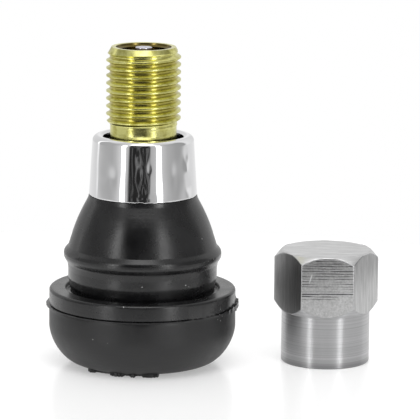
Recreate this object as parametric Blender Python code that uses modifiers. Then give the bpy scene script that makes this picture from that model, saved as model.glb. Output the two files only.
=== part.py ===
"""Snap-in tyre valve with a chromed sleeve, a screw-in core and a hexagonal metal cap that stands beside it.

Lengths are in metres. The valve's axis is Z, and z = 0 is the seat on the flange, where the wheel rim rests.
"""

import bmesh
import bpy
from math import atan2, ceil, cos, degrees, pi, radians, sin, sqrt, tan
from mathutils import Matrix, Vector

# Fits between pieces
SNUG = 0.00005              # between faces that touch or are bonded
THREAD_FIT = 0.00005        # between mating threads, one of them drawn as a plain bore
TINY = 1e-7                 # points closer than this are one

# Rubber body, outside
UNDERSIDE_DEPTH = 0.00785   # flat underside, below the seat
NECK_RADIUS = 0.00778       # fills the hole in the rim
NECK_UNDERCUT = 0.00033
NECK_UNDERCUT_HEIGHT = 0.0012
NECK_UNDERCUT_ROUND = 0.0012
FLANGE_REACH = 0.00197      # from the neck out to the flange's side
FLANGE_EDGE_ROUND = 0.0002
HEEL_INSET = 0.0034         # from the flange's side in to the flat underside
HEEL_ROUND = 0.0025
BELLY_ROUND = 0.0046
GROOVE_MOUTH = 0.00027      # from the neck out to the seat's inner edge
GROOVE_DEPTH = 0.00045
GROOVE_EDGE_ROUND = 0.0001
RIDGE_REACH = 0.00045       # from the neck out to the ridge's crest
RIDGE_ROUND = 0.00063
RIDGE_HEIGHT = 0.0036
RIDGE_TOP_TURN = radians(66.0)      # where the ridge's arc starts and ends, up and down from level
RIDGE_FOOT_TURN = radians(60.0)
RIDGE_TOP_BLEND = 0.0002            # rise from the arc's end to the cone
RIDGE_FOOT_BLEND = 0.0006           # and drop to the neck
CONE_FOOT_SLOPE = radians(15.0)     # lean of the cone's wall off the axis at the ridge
CONE_TOP_SLOPE = radians(28.0)      # and under the sleeve
CONE_PULL = 0.0024                  # how far each slope is carried along the wall
RUBBER_TOP_DROP = 0.0010            # from the sleeve's top down to the rubber inside it
RUBBER_TOP_ROUND = 0.0004
BASE_FLOOR = 0.0015                 # rubber under the stem's foot
BASE_HOLE_RADIUS = 0.0020
BASE_HOLE_CHAMFER = 0.0002

# Moulding flash at the parting line, and torn flash under the heel
FLASH_DEPTH = 0.00179
FLASH_THICKNESS = 0.00022
FLASH_REACH = 0.0002
FLASH_WAVER = 0.00006
TEAR_REACH = 0.00034
RIGHT_TEAR = (-6.0, 22.0)           # middle and half-width of the thick, torn stretches, in degrees round from +X
LEFT_TEAR = (180.0, 30.0)
TORN_DEPTH = 0.0002
TORN_OFFSET = 0.00035               # from the flat underside's edge out to the torn bits
TORN_THICKNESS = 0.0005
TORN_TAPER = 0.2                    # share of a bit's width that is lost at each end of its tip
TORN_BITS = ((-64.0, -42.0), (-32.0, -17.0), (-10.0, -5.0), (2.0, 17.0))   # degrees round from the front

# Brass stem
THREAD_RADIUS = 0.00385
THREAD_DEPTH = 0.00043
THREAD_PITCH = 0.000794
THREAD_LENGTH = 0.0083
THREAD_CREST = 0.125        # share of the pitch that is flat on the crest
THREAD_ROOT = 0.25          # and in the root
THREAD_LEAD_SLOPE = 0.55    # how far the lead-in cone widens for each step down from the mouth
THREAD_FADE_SLOPE = 1.3     # and for each step up from the neck, where the thread runs out
RIM_STEP = 0.0005           # from the crests in to the flat rim round the mouth
MOUTH_CHAMFER_WIDTH = 0.0002
MOUTH_CHAMFER_DEPTH = 0.0003
STEM_NECK_RADIUS = 0.00345
NECK_SHOWN = 0.00075        # plain neck between the sleeve and the thread
SHANK_STEP = 0.00045        # from the neck in to the shank inside the rubber
SHANK_TOP_HEIGHT = 0.0085
RIB_REACH = 0.0004
RIB_WIDTH = 0.0009
RIB_SPACING = 0.0030
RIB_COUNT = 3
RIB_START = 0.00375         # first rib, above the stem's foot
STEM_FOOT_REACH = 0.0009
STEM_FOOT_THICKNESS = 0.0009
AIR_BORE_RADIUS = 0.00125
AIR_BORE_CHAMFER = 0.0004

# Chromed sleeve
SLEEVE_FOOT_HEIGHT = 0.00988
SLEEVE_HEIGHT = 0.00637
SLEEVE_TAPER = 0.00043      # how much wider the foot is than the top
SLEEVE_OPENING = 0.0007     # gap round the stem's neck
SLEEVE_LIP_ROUND = 0.00095
SLEEVE_LIP_FLAT = 0.0001
SLEEVE_WALL = 0.0004
SLEEVE_FOOT_ROUND = 0.00008

# Core, from the pin outwards
PIN_RADIUS = 0.00045
PIN_HEAD_STEP = 0.00042     # from the shaft out to the head
PIN_HEAD_LENGTH = 0.0028
PIN_HEAD_ROUND = 0.0001
PIN_TOP_DEPTH = 0.00005
PIN_RUNNING_FIT = 0.00008
PIN_TAIL = 0.0014           # below the barrel
SPRING_WIRE_RADIUS = 0.00014
SPRING_PLAY = 0.00026       # beside the spring, to the pin and to the barrel
SPRING_TURNS = 6
COLLAR_PLAY = 0.0002
COLLAR_DEPTH = 0.0100       # below the mouth
COLLAR_THICKNESS = 0.0005
BARREL_WALL = 0.00047
BARREL_NECK_WALL = 0.0004
BARREL_LENGTH = 0.0114      # below the head
BARREL_FLOOR = 0.0006
BARREL_HOLE_PLAY = 0.0003
BARREL_CHAMFER = 0.0002
SHOULDER_LENGTH = 0.0028
SHOULDER_CHAMFER = 0.0003
SHOULDER_PLAY = 0.0004
GASKET_LENGTH = 0.0015
GASKET_SINK = 0.00018
SEAT_DROP = 0.0006          # from the gasket's top down to the seat
SEAT_LENGTH = 0.0010
SWIVEL_REACH = 0.00035
SWIVEL_HEIGHT = 0.0008
SWIVEL_LIP = 0.0004
SWIVEL_PLAY = 0.0001
HEAD_WALL = 0.00045
HEAD_TOP_DEPTH = 0.0008
HEAD_LENGTH = 0.0041
HEAD_EDGE_ROUND = 0.0003
HEAD_AIR_WALL = 0.0001      # from the barrel's neck in to the passage above it
BRIDGE_THICKNESS = 0.0008
BRIDGE_WIDTH = 0.0023
BRIDGE_HEIGHT = 0.0017
BORE_PLAY = 0.00023         # round the barrel
BORE_BELOW_BARREL = 0.0040
CUP_PLAY = 0.00035
CUP_WALL = 0.00025
CUP_HEIGHT = 0.0005
CUP_EDGE_ROUND = 0.0002
SEAL_THICKNESS = 0.00045

# Cap
CAP_PLACE = (0.01923, 0.0016)
CAP_HEIGHT = 0.0119
CAP_HEAD_HEIGHT = 0.0063
CAP_WALL = 0.0007
CAP_SKIRT_STEP = 0.00015    # from the flats in to the skirt
CAP_TOP_STEP = 0.00015      # and to the edge of the top
CAP_CHAMFER = radians(45.0)
CAP_FOOT_CHAMFER = 0.0001
CAP_MOUTH_CHAMFER = 0.0003
CAP_ROOF = 0.0028           # from the gasket's seat up to the top
CAP_DRILL_RADIUS = 0.0015
CAP_DRILL_DEPTH = 0.0005
CAP_DRILL_POINT = radians(59.0)
CAP_GASKET_THICKNESS = 0.0010
CAP_GASKET_BORE = 0.0018

# How finely round work is drawn
BODY_SIDES = 40
STEM_SIDES = 32
CORE_SIDES = 20
PIN_SIDES = 16
SPRING_SIDES = 10
CREASE = radians(32.0)      # edges sharper than this stay crisp
CAP_CREASE = radians(20.0)

# Worked out from the sizes above
flange_radius = NECK_RADIUS + FLANGE_REACH
foot_flat_radius = flange_radius - HEEL_INSET
floor_height = -UNDERSIDE_DEPTH - TORN_DEPTH

sleeve_top_height = SLEEVE_FOOT_HEIGHT + SLEEVE_HEIGHT
sleeve_mouth_radius = STEM_NECK_RADIUS + SLEEVE_OPENING
sleeve_top_radius = sleeve_mouth_radius + SLEEVE_LIP_FLAT + SLEEVE_LIP_ROUND
sleeve_foot_radius = sleeve_top_radius + SLEEVE_TAPER

mouth_height = sleeve_top_height + NECK_SHOWN + THREAD_LENGTH
stem_foot_height = BASE_FLOOR - UNDERSIDE_DEPTH
shank_radius = STEM_NECK_RADIUS - SHANK_STEP

pin_head_radius = PIN_RADIUS + PIN_HEAD_STEP
spring_radius = PIN_RADIUS + SPRING_PLAY + SPRING_WIRE_RADIUS
barrel_bore_radius = spring_radius + SPRING_WIRE_RADIUS + SPRING_PLAY
barrel_radius = barrel_bore_radius + BARREL_WALL
barrel_neck_radius = barrel_bore_radius + BARREL_NECK_WALL
swivel_radius = barrel_neck_radius + SWIVEL_REACH
core_thread_radius = swivel_radius + SWIVEL_PLAY + HEAD_WALL + THREAD_FIT
shoulder_radius = core_thread_radius - SHOULDER_PLAY
core_bore_radius = barrel_radius + BORE_PLAY
gasket_inner_radius = barrel_radius - GASKET_SINK

head_foot_depth = HEAD_TOP_DEPTH + HEAD_LENGTH
gasket_top_depth = head_foot_depth + SHOULDER_LENGTH
gasket_foot_depth = gasket_top_depth + GASKET_LENGTH
seat_top_depth = gasket_top_depth + SEAT_DROP
seat_foot_depth = seat_top_depth + SEAT_LENGTH
barrel_foot_depth = head_foot_depth + BARREL_LENGTH
core_bore_depth = barrel_foot_depth + BORE_BELOW_BARREL

cap_thread_radius = THREAD_RADIUS + THREAD_FIT
cap_skirt_radius = cap_thread_radius + CAP_WALL
cap_flat_radius = cap_skirt_radius + CAP_SKIRT_STEP
cap_thread_depth = CAP_HEIGHT - CAP_ROOF


def clear_scene():
    for item in list(bpy.data.objects):
        bpy.data.objects.remove(item, do_unlink=True)


def new_collection(name):
    group = bpy.data.collections.new(name)
    bpy.context.scene.collection.children.link(group)
    return group


def new_material(name, colour, metallic, roughness):
    material = bpy.data.materials.new(name)
    material.use_nodes = True
    shader = material.node_tree.nodes["Principled BSDF"]
    shader.inputs["Base Color"].default_value = (*colour, 1.0)
    shader.inputs["Metallic"].default_value = metallic
    shader.inputs["Roughness"].default_value = roughness
    material.diffuse_color = (*colour, 1.0)
    return material


def new_body(name, mesh, group, material=None, parent=None):
    body = bpy.data.objects.new(name, mesh)
    group.objects.link(body)
    if material:
        mesh.materials.append(material)
    if parent:
        body.parent = parent
    return body


def new_datum(name, place, group):
    """An empty that marks where an assembly sits."""
    datum = bpy.data.objects.new(name, None)
    datum.empty_display_size = THREAD_RADIUS
    datum.location = place
    group.objects.link(datum)
    return datum


def arc(centre, radius, start, end, steps):
    """Points on an arc in the (r, z) plane, both ends included."""
    turn = (end - start) / steps
    return [(centre[0] + radius * cos(start + turn * i), centre[1] + radius * sin(start + turn * i))
            for i in range(steps + 1)]


def rounded(corners, closed=True):
    """Profile points, with each corner (r, z, radius, steps) replaced by a tangent arc."""
    points = []
    last = len(corners) - 1
    for i, corner in enumerate(corners):
        here = Vector(corner[:2])
        if len(corner) == 2 or (not closed and i in (0, last)):
            points.append(tuple(here))
            continue
        back = (Vector(corners[i - 1][:2]) - here).normalized()
        ahead = (Vector(corners[(i + 1) % len(corners)][:2]) - here).normalized()
        half = back.angle(ahead) / 2
        radius, steps = corner[2:]
        centre = here + (back + ahead).normalized() * (radius / sin(half))
        first = here + back * (radius / tan(half)) - centre
        final = here + ahead * (radius / tan(half)) - centre
        start = atan2(first.y, first.x)
        swing = pi - 2 * half if first.cross(final) > 0 else 2 * half - pi
        points += arc(centre, radius, start, start + swing, steps)
    return points


def bezier(start, start_pull, end_pull, end, steps):
    """Points on a cubic curve, without its first point."""
    points = []
    for i in range(1, steps + 1):
        t = i / steps
        s = 1 - t
        point = s ** 3 * start + 3 * s * s * t * start_pull + 3 * s * t * t * end_pull + t ** 3 * end
        points.append(tuple(point))
    return points


def turned(name, profile, sides, group, material=None, parent=None, closed=True):
    """A profile of (r, z) points turned about Z. It runs down its outer side."""
    mesh = bpy.data.meshes.new(name)
    links = [(i, i + 1) for i in range(len(profile) - 1)]
    if closed:
        links.append((len(profile) - 1, 0))
    mesh.from_pydata([(r, 0.0, z) for r, z in profile], links, [])
    body = new_body(name, mesh, group, material, parent)
    lathe = body.modifiers.new("Lathe", "SCREW")
    lathe.angle = 2 * pi
    lathe.steps = sides
    lathe.render_steps = sides
    lathe.use_merge_vertices = True
    lathe.merge_threshold = TINY
    return body


def shape_with(body, tool, operation):
    """Cut, join or intersect a body with a tool."""
    step = body.modifiers.new(operation.title(), "BOOLEAN")
    step.object = tool
    step.operation = operation
    step.solver = "EXACT"
    tool.hide_render = True
    tool.display_type = "WIRE"


def settle(body, sharp=CREASE):
    """Apply the modifiers and shade the result as machined or moulded work."""
    bpy.context.view_layer.update()
    evaluated = body.evaluated_get(bpy.context.evaluated_depsgraph_get())
    finished = bpy.data.meshes.new_from_object(evaluated)
    body.modifiers.clear()
    old = body.data
    body.data = finished
    bpy.data.meshes.remove(old)
    finished.name = body.name
    finished.shade_smooth()
    finished.set_sharp_from_angle(angle=sharp)


def sleeve_radius(height):
    """Outer radius of the sleeve's cone at a height."""
    return sleeve_foot_radius - SLEEVE_TAPER * (height - SLEEVE_FOOT_HEIGHT) / SLEEVE_HEIGHT


def insert_outline(gap):
    """Outer side of the stem inside the rubber, from its foot up, grown by a gap."""
    foot = stem_foot_height
    foot_top = foot + STEM_FOOT_THICKNESS
    foot_radius = shank_radius + STEM_FOOT_REACH
    rib_radius = shank_radius + RIB_REACH
    outline = [(foot_radius + gap, foot - gap), (foot_radius + gap, foot_top + gap),
               (shank_radius + gap, foot_top + gap)]
    for i in range(RIB_COUNT):
        low = foot + RIB_START + i * RIB_SPACING - gap
        high = low + RIB_WIDTH + 2 * gap
        outline += [(shank_radius + gap, low), (rib_radius + gap, low),
                    (rib_radius + gap, high), (shank_radius + gap, high)]
    outline += [(shank_radius + gap, SHANK_TOP_HEIGHT - gap), (STEM_NECK_RADIUS + gap, SHANK_TOP_HEIGHT - gap)]
    return outline


def belly_and_heel():
    """The flange's lower side: a large arc out of the wall that runs into a smaller one at the foot."""
    heel = Vector((foot_flat_radius, HEEL_ROUND - UNDERSIDE_DEPTH))
    belly_r = flange_radius - BELLY_ROUND
    reach = BELLY_ROUND - HEEL_ROUND
    belly = Vector((belly_r, heel.y + sqrt(reach ** 2 - (belly_r - heel.x) ** 2)))
    meet = atan2(heel.y - belly.y, heel.x - belly.x)
    return arc(belly, BELLY_ROUND, 0.0, meet, 6) + arc(heel, HEEL_ROUND, meet, -pi / 2, 3)[1:]


def collar_outline(shoulder):
    """The rubber inside the sleeve, from the stem out and down to the shoulder that carries the sleeve."""
    top = sleeve_top_height - RUBBER_TOP_DROP
    lining = SLEEVE_WALL + SNUG
    return rounded([(STEM_NECK_RADIUS + SNUG, top), (sleeve_radius(top) - lining, top, RUBBER_TOP_ROUND, 2),
                    (sleeve_radius(shoulder) - lining, shoulder), (sleeve_foot_radius, shoulder)], closed=False)


def cone_outline(shoulder, foot):
    """The bulging cone from the sleeve's foot down to the ridge."""
    start = Vector((sleeve_foot_radius, shoulder))
    end = Vector((NECK_RADIUS, foot))
    start_pull = start + CONE_PULL * Vector((sin(CONE_TOP_SLOPE), -cos(CONE_TOP_SLOPE)))
    end_pull = end + CONE_PULL * Vector((-sin(CONE_FOOT_SLOPE), cos(CONE_FOOT_SLOPE)))
    return bezier(start, start_pull, end_pull, end, 6)


def rubber_profile():
    shoulder = SLEEVE_FOOT_HEIGHT - SNUG
    ridge_centre = (NECK_RADIUS + RIDGE_REACH - RIDGE_ROUND, RIDGE_HEIGHT)
    ridge = arc(ridge_centre, RIDGE_ROUND, RIDGE_TOP_TURN, -RIDGE_FOOT_TURN, 5)
    cone = cone_outline(shoulder, ridge[0][1] + RIDGE_TOP_BLEND)

    seat_inner = NECK_RADIUS + GROOVE_MOUTH
    seat = rounded([(NECK_RADIUS, ridge[-1][1] - RIDGE_FOOT_BLEND),
                    (NECK_RADIUS, NECK_UNDERCUT_HEIGHT, NECK_UNDERCUT_ROUND, 1),
                    (NECK_RADIUS - NECK_UNDERCUT, -GROOVE_DEPTH, GROOVE_EDGE_ROUND, 1),
                    (seat_inner, -GROOVE_DEPTH, GROOVE_EDGE_ROUND, 1),
                    (seat_inner, 0.0, GROOVE_EDGE_ROUND, 1),
                    (flange_radius, 0.0, FLANGE_EDGE_ROUND, 2),
                    (flange_radius, -FLASH_DEPTH)], closed=False)[:-1]

    half = FLASH_THICKNESS / 2
    tip = flange_radius + FLASH_REACH
    flash = [(flange_radius, half - FLASH_DEPTH), (tip, half / 2 - FLASH_DEPTH),
             (tip, -half / 2 - FLASH_DEPTH), (flange_radius, -half - FLASH_DEPTH)]

    hole = [(BASE_HOLE_RADIUS + BASE_HOLE_CHAMFER, -UNDERSIDE_DEPTH),
            (BASE_HOLE_RADIUS, BASE_HOLE_CHAMFER - UNDERSIDE_DEPTH),
            (BASE_HOLE_RADIUS, stem_foot_height - SNUG)]
    outside = collar_outline(shoulder) + cone + ridge + seat + flash + belly_and_heel()
    return outside + hole + insert_outline(SNUG)


def tear_share(angle, tear):
    """1 in the middle of a torn stretch of the flash, falling to 0 at its ends."""
    middle, half_width = tear
    away = abs((degrees(angle) - middle + 180) % 360 - 180)
    return max(0.0, 1 - away / half_width)


def flash_reach(angle):
    """How far the moulding flash stands out, round from +X. It is torn and thicker at both sides."""
    waver = FLASH_WAVER * (sin(5 * angle) + sin(13 * angle + 1.0) / 2)
    tear = max(tear_share(angle, RIGHT_TEAR), tear_share(angle, LEFT_TEAR))
    return (FLASH_REACH + waver) * (1 - tear) + TEAR_REACH * tear


def tear_flash(mesh):
    """Give the flash its wavering, torn outer edge."""
    for point in mesh.vertices:
        radius = point.co.xy.length
        if radius > flange_radius + FLASH_REACH / 2:
            point.co.xy *= (flange_radius + flash_reach(atan2(point.co.y, point.co.x))) / radius


def torn_bit(name, start, end, group):
    """A scrap of torn rubber under the heel, between two directions in degrees round from the front."""
    shape = bmesh.new()
    middle = foot_flat_radius + TORN_OFFSET
    root_height = -UNDERSIDE_DEPTH + TORN_DEPTH
    roots = ((middle - TORN_THICKNESS / 2, root_height), (middle + TORN_THICKNESS / 4, root_height))
    tips = ((middle - TORN_THICKNESS / 4, floor_height), (middle + TORN_THICKNESS / 2, floor_height))
    inset = (end - start) * TORN_TAPER
    for directions, edge in (((start, end), roots), ((start + inset, end - inset), tips)):
        for direction in directions:
            turn = radians(direction) - pi / 2
            for radius, height in edge:
                shape.verts.new((radius * cos(turn), radius * sin(turn), height))
    bmesh.ops.convex_hull(shape, input=shape.verts)
    mesh = bpy.data.meshes.new(name)
    shape.to_mesh(mesh)
    shape.free()
    return new_body(name, mesh, group)


def make_rubber_body(group, tools, material):
    body = turned("rubber_body", rubber_profile(), BODY_SIDES, group, material)
    settle(body)
    tear_flash(body.data)
    for i, (start, end) in enumerate(TORN_BITS):
        shape_with(body, torn_bit(f"torn_bit_{i + 1}", start, end, tools), "UNION")
    settle(body)


def make_sleeve(group, material):
    """A thin conical shell with a rolled lip round its opening."""
    foot = SLEEVE_FOOT_HEIGHT
    top = sleeve_top_height
    ceiling = top - SLEEVE_WALL
    profile = rounded([(sleeve_top_radius, top, SLEEVE_LIP_ROUND, 4),
                       (sleeve_foot_radius, foot, SLEEVE_FOOT_ROUND, 1),
                       (sleeve_foot_radius - SLEEVE_WALL, foot),
                       (sleeve_radius(ceiling) - SLEEVE_WALL, ceiling, SLEEVE_LIP_ROUND - SLEEVE_WALL, 2),
                       (sleeve_mouth_radius, ceiling, SLEEVE_WALL / 4, 1),
                       (sleeve_mouth_radius, top, SLEEVE_WALL / 4, 2)])
    settle(turned("sleeve", profile, BODY_SIDES, group, material))


def thread_radius(phase):
    """Radius of the stem's thread at a share of its pitch, counted from the middle of a root."""
    flank = (1 - THREAD_CREST - THREAD_ROOT) / 2
    away = abs(phase - 0.5)
    if away <= THREAD_CREST / 2:
        return THREAD_RADIUS
    fall = min((away - THREAD_CREST / 2) / flank, 1.0)
    return THREAD_RADIUS - THREAD_DEPTH * fall


def add_thread(shape):
    """Loft the helical thread between the neck and the rim as columns that each climb the pitch.

    A lead-in cone at the mouth and a fade above the neck trim it, so both of its ends are plain rings.
    """
    foot = mouth_height - THREAD_LENGTH
    rim = THREAD_RADIUS - RIM_STEP
    marks = [THREAD_ROOT / 2, (1 - THREAD_CREST) / 2, (1 + THREAD_CREST) / 2, 1 - THREAD_ROOT / 2]
    turns = ceil(THREAD_LENGTH / THREAD_PITCH) + 1
    snap = THREAD_PITCH / 200
    columns = []
    for side in range(STEM_SIDES):
        climb = side / STEM_SIDES
        angle = 2 * pi * climb
        column = []
        for turn in range(-2, turns):
            for mark in marks:
                height = foot + (turn + mark + climb) * THREAD_PITCH
                if height < foot + snap:
                    height, radius = foot, STEM_NECK_RADIUS
                elif height > mouth_height - snap:
                    height, radius = mouth_height, rim
                else:
                    lead = rim + (mouth_height - height) * THREAD_LEAD_SLOPE
                    fade = STEM_NECK_RADIUS + (height - foot) * THREAD_FADE_SLOPE
                    radius = min(thread_radius(mark), lead, fade)
                column.append(shape.verts.new((radius * cos(angle), radius * sin(angle), height)))
        columns.append(column)
    for side in range(STEM_SIDES):
        left = columns[side]
        right = columns[(side + 1) % STEM_SIDES]
        shift = len(marks) if side == STEM_SIDES - 1 else 0
        for row in range(len(left) - 1 - shift):
            shape.faces.new((left[row], right[row + shift], right[row + shift + 1], left[row + 1]))


def make_stem(group, material):
    """Turned brass insert with the cap thread, the core's bore and seat, and the ribs that grip the rubber."""
    mouth = mouth_height
    outside = [(STEM_NECK_RADIUS, mouth - THREAD_LENGTH)] + insert_outline(0.0)[::-1]
    inside = [(AIR_BORE_RADIUS + AIR_BORE_CHAMFER, stem_foot_height),
              (AIR_BORE_RADIUS, stem_foot_height + AIR_BORE_CHAMFER),
              (AIR_BORE_RADIUS, mouth - core_bore_depth - (core_bore_radius - AIR_BORE_RADIUS)),
              (core_bore_radius, mouth - core_bore_depth), (core_bore_radius, mouth - seat_foot_depth),
              (core_thread_radius, mouth - seat_top_depth), (core_thread_radius, mouth - MOUTH_CHAMFER_DEPTH),
              (core_thread_radius + MOUTH_CHAMFER_WIDTH, mouth), (THREAD_RADIUS - RIM_STEP, mouth)]
    profile = outside + inside
    shape = bmesh.new()
    points = [shape.verts.new((r, 0.0, z)) for r, z in profile]
    edges = [shape.edges.new(pair) for pair in zip(points, points[1:])]
    bmesh.ops.spin(shape, geom=points + edges, axis=(0.0, 0.0, 1.0), cent=(0.0, 0.0, 0.0), angle=2 * pi,
                   steps=STEM_SIDES, use_merge=True)
    add_thread(shape)
    bmesh.ops.remove_doubles(shape, verts=shape.verts, dist=TINY)
    bmesh.ops.recalc_face_normals(shape, faces=shape.faces)
    mesh = bpy.data.meshes.new("stem")
    shape.to_mesh(mesh)
    shape.free()
    mesh.shade_smooth()
    mesh.set_sharp_from_angle(angle=CREASE)
    new_body("stem", mesh, group, material)


def make_core_head(group, tools, material, core):
    """Threaded head: a ring that swivels on the barrel, bridged on top to guide the pin."""
    foot = -head_foot_depth
    top = -HEAD_TOP_DEPTH
    outer = core_thread_radius - THREAD_FIT
    lip = barrel_neck_radius + SWIVEL_PLAY
    pocket = swivel_radius + SWIVEL_PLAY
    lip_top = foot + SWIVEL_LIP
    ceiling = lip_top + SWIVEL_HEIGHT
    passage = barrel_neck_radius - HEAD_AIR_WALL
    guide = pin_head_radius + PIN_RUNNING_FIT
    profile = rounded([(guide, top), (outer, top, HEAD_EDGE_ROUND, 2), (outer, foot), (lip, foot), (lip, lip_top),
                       (pocket, lip_top), (pocket, ceiling), (passage, ceiling),
                       (passage, top - BRIDGE_THICKNESS, HEAD_EDGE_ROUND, 2), (guide, top - BRIDGE_THICKNESS)])
    head = turned("core_head", profile, CORE_SIDES, group, material, core)
    for name, side in (("bridge_mill_front", -1), ("bridge_mill_back", 1)):
        bpy.ops.mesh.primitive_cube_add(size=1.0)
        mill = bpy.context.object
        mill.name = name
        mill.scale = (3 * outer, 2 * outer, 2 * BRIDGE_HEIGHT)
        mill.location = (0.0, side * (outer + BRIDGE_WIDTH / 2), mouth_height + top)
        for owner in mill.users_collection:
            owner.objects.unlink(mill)
        tools.objects.link(mill)
        shape_with(head, mill, "DIFFERENCE")
    settle(head)


def make_core_barrel(group, material, core):
    """Hollow barrel, flanged at the top to swivel in the head, waisted for its gasket."""
    flange_foot = -head_foot_depth + SWIVEL_LIP + SWIVEL_PLAY
    flange_top = flange_foot + SWIVEL_HEIGHT - 2 * SWIVEL_PLAY
    shoulder = -head_foot_depth - SWIVEL_PLAY
    gasket_top = -gasket_top_depth
    gasket_foot = -gasket_foot_depth
    foot = -barrel_foot_depth
    hole = PIN_RADIUS + BARREL_HOLE_PLAY
    profile = [(swivel_radius, flange_top), (swivel_radius, flange_foot), (barrel_neck_radius, flange_foot),
               (barrel_neck_radius, shoulder), (shoulder_radius, shoulder - SHOULDER_CHAMFER),
               (shoulder_radius, gasket_top), (gasket_inner_radius, gasket_top), (gasket_inner_radius, gasket_foot),
               (barrel_radius, gasket_foot), (barrel_radius, foot + BARREL_CHAMFER),
               (barrel_radius - BARREL_CHAMFER, foot), (hole, foot), (hole, foot + BARREL_FLOOR),
               (barrel_bore_radius, foot + BARREL_FLOOR), (barrel_bore_radius, flange_top)]
    settle(turned("core_barrel", profile, CORE_SIDES, group, material, core))


def make_barrel_gasket(group, material, core):
    """Cone-shaped ring between the barrel's waist and the seat in the stem."""
    top = -gasket_top_depth - SNUG
    foot = -gasket_foot_depth + SNUG
    inner = gasket_inner_radius + SNUG
    slope = (core_thread_radius - core_bore_radius) / SEAT_LENGTH
    seat_top = core_thread_radius - 2 * SNUG
    seat_foot = core_bore_radius + (foot + seat_foot_depth) * slope - 2 * SNUG
    profile = [(shoulder_radius, top), (seat_top, -seat_top_depth), (seat_foot, foot), (inner, foot), (inner, top)]
    settle(turned("barrel_gasket", profile, CORE_SIDES, group, material, core))


def make_core_pin(group, material, core):
    """Stepped pin whose head shows in the mouth, with the collar that the spring lifts."""
    top = -PIN_TOP_DEPTH
    head_foot = top - PIN_HEAD_LENGTH
    collar = barrel_bore_radius - COLLAR_PLAY
    collar_top = -COLLAR_DEPTH
    collar_foot = collar_top - COLLAR_THICKNESS
    end = -barrel_foot_depth - PIN_TAIL
    profile = rounded([(0.0, top), (pin_head_radius, top, PIN_HEAD_ROUND, 2), (pin_head_radius, head_foot),
                       (PIN_RADIUS, head_foot - PIN_HEAD_STEP), (PIN_RADIUS, collar_top), (collar, collar_top),
                       (collar, collar_foot), (PIN_RADIUS, collar_foot), (PIN_RADIUS, end), (0.0, end)],
                      closed=False)
    settle(turned("core_pin", profile, PIN_SIDES, group, material, core, closed=False))


def make_core_spring(group, material, core):
    """Coil between the barrel's floor and the pin's collar, with a closed turn at each end."""
    low = -barrel_foot_depth + BARREL_FLOOR + SPRING_WIRE_RADIUS + SNUG
    high = -COLLAR_DEPTH - COLLAR_THICKNESS - SPRING_WIRE_RADIUS - SNUG
    end_rise = 2 * SPRING_WIRE_RADIUS + SNUG
    open_rise = high - low - 2 * end_rise
    open_turns = SPRING_TURNS - 2
    coil = bpy.data.curves.new("core_spring", "CURVE")
    coil.dimensions = "3D"
    coil.bevel_depth = SPRING_WIRE_RADIUS
    coil.bevel_resolution = 1
    coil.use_fill_caps = True
    path = coil.splines.new("POLY")
    path.points.add(SPRING_TURNS * SPRING_SIDES)
    for i, point in enumerate(path.points):
        turn = i / SPRING_SIDES
        angle = 2 * pi * turn
        closed_turns = min(turn, 1.0) + max(turn - (SPRING_TURNS - 1), 0.0)
        opened = min(max(turn - 1, 0.0), open_turns) / open_turns
        height = low + closed_turns * end_rise + opened * open_rise
        point.co = (spring_radius * cos(angle), spring_radius * sin(angle), height, 1.0)
    wire = bpy.data.objects.new("core_spring_wire", coil)
    group.objects.link(wire)
    bpy.context.view_layer.update()
    mesh = bpy.data.meshes.new_from_object(wire.evaluated_get(bpy.context.evaluated_depsgraph_get()))
    bpy.data.objects.remove(wire, do_unlink=True)
    shape = bmesh.new()
    shape.from_mesh(mesh)
    bmesh.ops.remove_doubles(shape, verts=shape.verts, dist=TINY)
    shape.to_mesh(mesh)
    shape.free()
    mesh.name = "core_spring"
    mesh.shade_smooth()
    new_body("core_spring", mesh, group, material, core)


def make_plunger(group, cup_material, seal_material, core):
    """Cup on the pin's end, and the rubber washer in it that closes the barrel's foot."""
    seal_top = -barrel_foot_depth - SNUG
    seal_foot = seal_top - SEAL_THICKNESS
    floor_top = seal_foot - SNUG
    floor_foot = floor_top - CUP_WALL
    rim = floor_foot + CUP_HEIGHT
    eye = PIN_RADIUS + SNUG
    outer = core_bore_radius - CUP_PLAY
    inner = outer - CUP_WALL
    cup = rounded([(outer, rim), (outer, floor_foot, CUP_EDGE_ROUND, 2), (eye, floor_foot), (eye, floor_top),
                   (inner, floor_top), (inner, rim)])
    settle(turned("plunger_cup", cup, CORE_SIDES, group, cup_material, core))
    seal = [(inner - SNUG, seal_top), (inner - SNUG, seal_foot), (eye, seal_foot), (eye, seal_top)]
    settle(turned("plunger_gasket", seal, CORE_SIDES, group, seal_material, core))


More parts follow.
